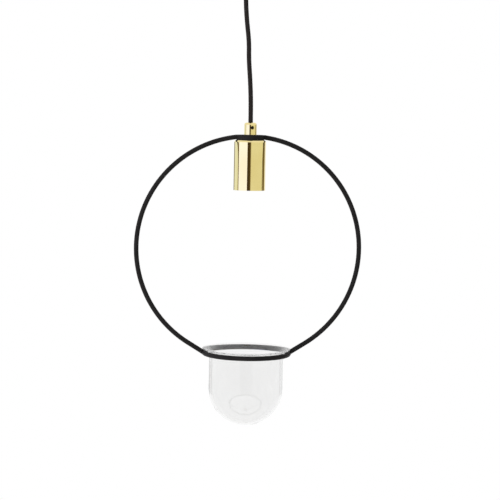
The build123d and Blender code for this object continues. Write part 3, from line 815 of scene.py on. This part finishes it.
@dataclass
class SuspensionCord:
    """The textile cord between the lamp's grip and the ceiling rose, with its two held ends."""

    palette: Palette
    braid: Braid = field(default_factory=Braid)
    swing_z: float = -0.043
    length: float = 0.215
    exit: Point = (LAMP_X, 0.0, -0.253)
    bend_start: Point = (0.0, 0.0, -0.044)
    bend_end: Point = (0.0, 0.0, -0.095)
    curve_steps: int = 16
    curve_order: int = 3

    def route(self) -> list[Point]:
        """The route of the free cord.

        Returns:
            Its points, from the lamp's grip up to the swing point.
        """
        offsets_and_drops = [
            (0.0105, 0.2147),
            (0.0105, 0.182),
            (0.0087, 0.147),
            (0.0061, 0.117),
            (0.006, 0.091),
            (0.0022, 0.061),
            (-0.0002, 0.029),
            (0.0, 0.0),
        ]
        return [(offset, 0.0, self.swing_z - drop) for offset, drop in offsets_and_drops]

    def centreline(self) -> list[Vector]:
        """The smooth line of the cord, read from a NURBS spline that the route's points lead.

        Returns:
            Points of the line.
        """
        curve = bpy.data.curves.new("cord_route", "CURVE")
        curve.dimensions = "3D"
        curve.resolution_u = self.curve_steps
        spline = curve.splines.new("NURBS")
        route = self.route()
        spline.points.add(len(route) - 1)
        for point, place in zip(spline.points, route):
            point.co = (*place, 1.0)
        spline.order_u = self.curve_order
        spline.use_endpoint_u = True
        carrier = bpy.data.objects.new("cord_route", curve)
        bpy.context.scene.collection.objects.link(carrier)
        bpy.context.view_layer.update()
        mesh = bpy.data.meshes.new_from_object(carrier)
        line = [vertex.co.copy() for vertex in mesh.vertices]
        bpy.data.objects.remove(carrier)
        bpy.data.curves.remove(curve)
        bpy.data.meshes.remove(mesh)
        return line

    def held_end(self, name: str, node: str, body: Body) -> bpy.types.Object:
        """Braids a straight held end of the cord in place of its CAD node.

        Args:
            name: The piece's name.
            node: The CAD node.
            body: The body that it rides on.

        Returns:
            The piece.
        """
        low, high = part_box(node)
        x = (low.x + high.x) / 2
        piece = self.braid.weave(name, [Vector((x, 0, low.z)), Vector((x, 0, high.z))])
        self.palette.dress(piece, Slot.TEXTILE)
        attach(piece, body.value)
        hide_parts(node)
        return piece

    def build(self) -> list[bpy.types.Object]:
        """Makes the free cord and its held ends.

        Returns:
            The pieces.
        """
        line = self.centreline()
        cord = self.braid.weave("braided_cord", line)
        self.palette.dress(cord, Slot.TEXTILE)
        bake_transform(cord)
        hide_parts("textile_cord")
        tail = self.held_end("braided_cord_tail", "cord_tail", Body.ROSE)
        end = self.held_end("braided_cord_end", "cord_end", Body.LAMP)
        return [cord, tail, end]


@dataclass
class CeilingRose:
    """The canopy, its bracket, the cord outlet and the wiring inside."""

    palette: Palette
    nodes: tuple[str, ...] = (
        "ceiling_bracket",
        "canopy",
        "canopy_screws",
        "cord_outlet",
        "outlet_nut",
        "outlet_screw",
        "terminal_block",
        "terminal_sleeves",
        "terminal_screws",
        "block_screw",
        "canopy_earth_tag",
        "canopy_earth_screw",
        "canopy_live_core",
        "canopy_neutral_core",
        "canopy_earth_core",
    )

    def build(self) -> list[bpy.types.Object]:
        """Dresses the rose's nodes.

        Returns:
            The pieces.
        """
        return self.palette.dress_nodes(self.nodes)


@dataclass
class HoopFrame:
    """The hoop's rod halves, their hub and the ring that holds the vase."""

    palette: Palette
    nodes: tuple[str, ...] = ("hoop_hub", "hoop_left", "hoop_right", "vase_ring")

    def build(self) -> list[bpy.types.Object]:
        """Dresses the frame's nodes.

        Returns:
            The pieces.
        """
        return self.palette.dress_nodes(self.nodes)


@dataclass
class Lampholder:
    """The brass grip and cup, and the lampholder inside them, with its rolled screw shell."""

    palette: Palette
    nodes: tuple[str, ...] = (
        "cord_grip",
        "grip_screw",
        "threaded_nipple",
        "socket_cup",
        "lock_nut",
        "socket_bridge",
        "bridge_screws",
        "earth_screw",
        "socket_insert",
        "centre_contact",
        "contact_rivets",
        "socket_terminals",
        "socket_terminal_screws",
        "live_core",
        "neutral_core",
        "earth_core",
    )
    shell_bore_r: float = 0.0133
    shell_wall: float = 0.0004
    flange_hole_r: float = 0.009
    thread_pitch: float = 0.00363
    thread_depth: float = 0.0009
    plain_mouth: float = 0.0016
    around: int = 72
    steps_per_turn: int = 12

    def shell_rings(self, low: float, high: float, offset: float) -> list[list[Vector]]:
        """Rings of the shell's wall, with the rolled thread in them.

        Args:
            low: Height of the shell's mouth.
            high: Height of its flange.
            offset: How far outside the bore the wall's face lies.

        Returns:
            The rings' points, from the mouth up.
        """
        count = round((high - low) / self.thread_pitch * self.steps_per_turn)
        rings = []
        for i in range(count + 1):
            height = low + (high - low) * i / count
            fade = min(1.0, (height - low) / self.plain_mouth, (high - height) / self.plain_mouth)
            ring = []
            for j in range(self.around):
                turn = 2 * math.pi * j / self.around
                phase = 2 * math.pi * (height - low) / self.thread_pitch - turn
                depth = self.thread_depth * fade * (0.5 - 0.5 * math.cos(phase))
                radius = self.shell_bore_r - depth + offset
                ring.append(Vector((LAMP_X + radius * math.cos(turn), radius * math.sin(turn), height)))
            rings.append(ring)
        return rings

    def flange_ring(self, height: float) -> list[Vector]:
        """The edge of the hole in the shell's flange.

        Args:
            height: The ring's height.

        Returns:
            The ring's points.
        """
        turns = [2 * math.pi * j / self.around for j in range(self.around)]
        radius = self.flange_hole_r
        return [Vector((LAMP_X + radius * math.cos(t), radius * math.sin(t), height)) for t in turns]

    def screw_shell(self) -> bpy.types.Object:
        """Rolls the screw shell, in place of the plain CAD tube.

        Returns:
            The shell.
        """
        low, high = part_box("screw_shell")
        maker = MeshMaker()
        inner = [maker.ring(ring) for ring in self.shell_rings(low.z, high.z - self.shell_wall, 0.0)]
        outer = [maker.ring(ring) for ring in self.shell_rings(low.z, high.z, self.shell_wall)]
        inner_hole = maker.ring(self.flange_ring(high.z - self.shell_wall))
        outer_hole = maker.ring(self.flange_ring(high.z))
        inside = [*inner, inner_hole]
        outside = [*outer, outer_hole]
        for first, second in zip(inside, inside[1:]):
            maker.join(second, first)
        for first, second in zip(outside, outside[1:]):
            maker.join(first, second)
        maker.join(inner[0], outer[0])
        maker.join(outer_hole, inner_hole)
        piece = maker.make("rolled_screw_shell")
        self.palette.dress(piece, Slot.BRASS)
        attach(piece, Body.LAMP.value)
        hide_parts("screw_shell")
        return piece

    def build(self) -> list[bpy.types.Object]:
        """Dresses the lampholder's nodes and rolls its shell.

        Returns:
            The pieces.
        """
        return [*self.palette.dress_nodes(self.nodes), self.screw_shell()]


@dataclass
class GlassVase:
    """The clear vase that hangs in the ring by its flared lip."""

    palette: Palette
    radius: float = 0.0557
    wall: float = 0.0026
    lip_wall: float = 0.0014
    lip_edge_r: float = 0.0656
    flare_r: float = 0.0093
    neck_z: float = -0.599842
    dome_z: float = -0.648742
    segments: int = 288
    dome_steps: int = 72
    flare_steps: int = 32
    lip_steps: int = 12
    wall_steps: int = 8

    def profile(self) -> list[Pair]:
        """The vase's section, from the bottom up the outside, over the lip and down the inside.

        Returns:
            Radius and height of each point.
        """
        inner_r = self.radius - self.wall
        flare = (self.radius + self.flare_r, self.neck_z)
        lip_x = self.lip_edge_r - self.lip_wall / 2
        middle_r = self.flare_r + self.lip_wall / 2
        turn = math.acos((flare[0] - lip_x) / middle_r)
        lip = (lip_x, self.neck_z + middle_r * math.sin(turn))
        angle = math.degrees(turn)
        across = flare[0] - (self.flare_r + self.lip_wall) * math.cos(turn) - inner_r
        rise = (self.flare_r + self.lip_wall) * math.sin(turn)
        inside_r = (across**2 + rise**2) / (2 * across)
        inside_angle = math.degrees(math.atan2(rise, inside_r - across))
        straight = self.neck_z - self.dome_z
        shares = [i / self.wall_steps for i in range(1, self.wall_steps)]
        points = [(0.0, self.dome_z - self.radius)]
        points += arc((0.0, self.dome_z), self.radius, -90, 0, self.dome_steps)[1:]
        points += [(self.radius, self.dome_z + straight * share) for share in shares]
        points += arc(flare, self.flare_r, 180, 180 - angle, self.flare_steps)
        points += arc(lip, self.lip_wall / 2, -angle, 180 - angle, self.lip_steps)[1:-1]
        inside = (inner_r + inside_r, self.neck_z)
        points += arc(inside, inside_r, 180 - inside_angle, 180, self.flare_steps)
        points += [(inner_r, self.neck_z - straight * share) for share in shares]
        points += arc((0.0, self.dome_z), inner_r, 0, -90, self.dome_steps)[:-1]
        points.append((0.0, self.dome_z - inner_r))
        return points

    def build(self) -> list[bpy.types.Object]:
        """Turns the vase and lets it ride on its own body.

        Returns:
            The vase, as a list of one piece.
        """
        piece = lathe("blown_glass_vase", self.profile(), self.segments)
        self.palette.dress(piece, Slot.GLASS)
        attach(piece, Body.VASE.value)
        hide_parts("glass_vase")
        return [piece]


class Seen(Enum):
    """How a studio card is seen in the pieces."""

    REFLECTED = "in polished metal"
    REFRACTED = "through glass"


@dataclass(frozen=True)
class Card:
    """An upright studio card round the lamp.

    It stands between two angles in degrees, which are measured from the camera to the right in the picture.
    Its heights and its distance from the lamp axis are in metres.
    """

    name: str
    start: float
    stop: float
    light: Point
    seen: Seen = Seen.REFLECTED
    low: float = -0.5
    high: float = -0.16
    distance: float = 1.6


@dataclass(frozen=True)
class Softbox:
    """A soft lamp that looks at a point on the lamp axis.

    Its angle is measured like a card's, and its rise is its height above that point.
    """

    name: str
    angle: float
    distance: float
    width: float
    tall: float
    radiance: float
    rise: float = 0.0
    target_z: float = -0.4


@dataclass
class Studio:
    """White surroundings, a softbox, and the cards that the brass mirrors or the glass bends."""

    camera_azimuth: float
    floor_z: float = -1.1
    floor_r: float = 4.0
    floor_sides: int = 64
    ambient: float = 0.6
    floor_colour: Colour = (0.85, 0.85, 0.85, 1.0)
    glass_bounces: int = 64
    softbox: Softbox = Softbox("left_softbox", -53.0, distance=1.3, width=1.45, tall=1.8, radiance=1.8)
    cards: tuple[Card, ...] = (
        Card("left_rear_card", -178.0, -142.0, (0.28, 0.25, 0.17), low=-0.71, high=-0.36, distance=8.0),
        Card("left_strip_card", -142.0, -95.0, (0.93, 1.0, 1.07)),
        Card("left_edge_card", -95.0, -87.0, (0.3, 0.23, 0.12)),
        Card("left_glow_card", -87.0, -18.5, (1.22, 1.3, 1.95)),
        Card("camera_gap_card", -18.5, 4.0, (0.07, 0.047, 0.022)),
        Card("camera_low_card", -17.0, 20.0, (0.62, 0.62, 0.62), low=-1.05, high=-0.5),
        Card("right_gap_card", 4.0, 8.0, (0.4, 0.34, 0.2)),
        Card("right_fill_card", 8.0, 107.0, (0.88, 0.88, 0.74)),
        Card("right_edge_card", 107.0, 134.0, (0.2, 0.15, 0.06)),
        Card("left_glass_card", -166.0, -148.0, (0.52, 0.52, 0.52), Seen.REFRACTED, -1.0, -0.81),
        Card("right_glass_card", 148.0, 166.0, (0.7, 0.7, 0.7), Seen.REFRACTED, -1.0, -0.81),
    )

    def direction(self, angle: float) -> Vector:
        """The level direction at an angle from the camera.

        Args:
            angle: The angle in degrees, to the right in the picture.

        Returns:
            A unit vector.
        """
        turn = math.radians(self.camera_azimuth + angle)
        return Vector((math.sin(turn), -math.cos(turn), 0))

    def seen_rays(self, tree: bpy.types.NodeTree) -> bpy.types.NodeSocket:
        """Tells the rays that see the background from those that light the object.

        Args:
            tree: The node tree to add to.

        Returns:
            A socket that is 1 for camera, glossy and transmission rays.
        """
        path = tree.nodes.new("ShaderNodeLightPath")
        found = path.outputs["Is Camera Ray"]
        for name in ("Is Glossy Ray", "Is Transmission Ray"):
            either = tree.nodes.new("ShaderNodeMath")
            either.operation = "MAXIMUM"
            tree.links.new(found, either.inputs[0])
            tree.links.new(path.outputs[name], either.inputs[1])
            found = either.outputs["Value"]
        return found

    def world(self) -> None:
        """Makes the surroundings: white where they are seen, and softer as light."""
        world = bpy.data.worlds.new("white_studio")
        bpy.context.scene.world = world
        world.use_nodes = True
        tree = world.node_tree
        light = tree.nodes["Background"]
        light.inputs["Color"].default_value = WHITE
        light.inputs["Strength"].default_value = self.ambient
        seen = tree.nodes.new("ShaderNodeBackground")
        seen.inputs["Color"].default_value = WHITE
        seen.inputs["Strength"].default_value = 1.0
        mix = tree.nodes.new("ShaderNodeMixShader")
        tree.links.new(self.seen_rays(tree), mix.inputs["Fac"])
        tree.links.new(light.outputs["Background"], mix.inputs[1])
        tree.links.new(seen.outputs["Background"], mix.inputs[2])
        tree.links.new(mix.outputs["Shader"], tree.nodes["World Output"].inputs["Surface"])

    def floor(self) -> bpy.types.Object:
        """Makes the pale floor far under the lamp.

        Returns:
            The floor.
        """
        maker = MeshMaker()
        turns = [2 * math.pi * i / self.floor_sides for i in range(self.floor_sides)]
        edge = [(self.floor_r * math.cos(t), self.floor_r * math.sin(t)) for t in turns]
        maker.cap(maker.ring([Vector((x, y, self.floor_z)) for x, y in edge]))
        floor = maker.make("studio_floor")
        material = bpy.data.materials.new("studio_floor")
        material.use_nodes = True
        tree = material.node_tree
        tree.nodes.remove(tree.nodes["Principled BSDF"])
        matt = tree.nodes.new("ShaderNodeBsdfDiffuse")
        matt.inputs["Color"].default_value = self.floor_colour
        white = tree.nodes.new("ShaderNodeEmission")
        mix = tree.nodes.new("ShaderNodeMixShader")
        tree.links.new(self.seen_rays(tree), mix.inputs["Fac"])
        tree.links.new(matt.outputs["BSDF"], mix.inputs[1])
        tree.links.new(white.outputs["Emission"], mix.inputs[2])
        tree.links.new(mix.outputs["Shader"], tree.nodes["Material Output"].inputs["Surface"])
        floor.data.materials.append(material)
        return floor

    def stand(self, card: Card) -> bpy.types.Object:
        """Makes one card, which only reflections and refractions see.

        Args:
            card: The card.

        Returns:
            Its object.
        """
        maker = MeshMaker()
        left = Vector((LAMP_X, 0, 0)) + self.direction(card.start) * card.distance
        right = Vector((LAMP_X, 0, 0)) + self.direction(card.stop) * card.distance
        corners = [(left, card.low), (right, card.low), (right, card.high), (left, card.high)]
        maker.cap(maker.ring([Vector((place.x, place.y, height)) for place, height in corners]))
        piece = maker.make(card.name)
        material = bpy.data.materials.new(card.name)
        material.use_nodes = True
        tree = material.node_tree
        tree.nodes.remove(tree.nodes["Principled BSDF"])
        glow = tree.nodes.new("ShaderNodeEmission")
        glow.inputs["Color"].default_value = (*card.light, 1.0)
        tree.links.new(glow.outputs["Emission"], tree.nodes["Material Output"].inputs["Surface"])
        piece.data.materials.append(material)
        piece.visible_camera = False
        piece.visible_diffuse = False
        piece.visible_shadow = False
        piece.visible_glossy = card.seen is Seen.REFLECTED
        piece.visible_transmission = card.seen is Seen.REFRACTED
        return piece

    def shine(self, softbox: Softbox) -> bpy.types.Object:
        """Makes one softbox.

        Args:
            softbox: The softbox.

        Returns:
            Its object.
        """
        light = bpy.data.lights.new(softbox.name, "AREA")
        light.shape = "RECTANGLE"
        light.size, light.size_y = softbox.width, softbox.tall
        light.energy = softbox.radiance * math.pi * softbox.width * softbox.tall
        box = bpy.data.objects.new(softbox.name, light)
        bpy.context.scene.collection.objects.link(box)
        target = Vector((LAMP_X, 0, softbox.target_z))
        level = self.direction(softbox.angle) * softbox.distance
        box.location = target + level + Vector((0, 0, softbox.rise))
        box.rotation_mode = "QUATERNION"
        box.rotation_quaternion = (target - box.location).to_track_quat("-Z", "Y")
        box.visible_camera = False
        box.visible_glossy = False
        box.visible_transmission = False
        return box

    def build(self) -> None:
        """Makes the surroundings, the floor, the cards and the softbox."""
        self.world()
        self.floor()
        for card in self.cards:
            self.stand(card)
        self.shine(self.softbox)
        scene = bpy.context.scene
        scene.view_settings.view_transform = "Standard"
        # The vase wall leads light round its bends in many small bounces.
        scene.cycles.max_bounces = self.glass_bounces
        scene.cycles.glossy_bounces = self.glass_bounces
        scene.cycles.transmission_bounces = self.glass_bounces


def main() -> None:
    """Builds the scene in order and reports each piece."""
    logging.basicConfig(level=logging.INFO, format="%(name)s: %(message)s")
    camera = PhotoCamera()
    camera.build()
    palette = Palette()
    assemblies = (
        SuspensionCord(palette),
        CeilingRose(palette),
        HoopFrame(palette),
        Lampholder(palette),
        GlassVase(palette),
    )
    for assembly in assemblies:
        for piece in assembly.build():
            log.info("%s: %s, %d points", type(assembly).__name__, piece.name, len(piece.data.vertices))
    Studio(camera.azimuth).build()


if __name__ == "__main__":
    main()
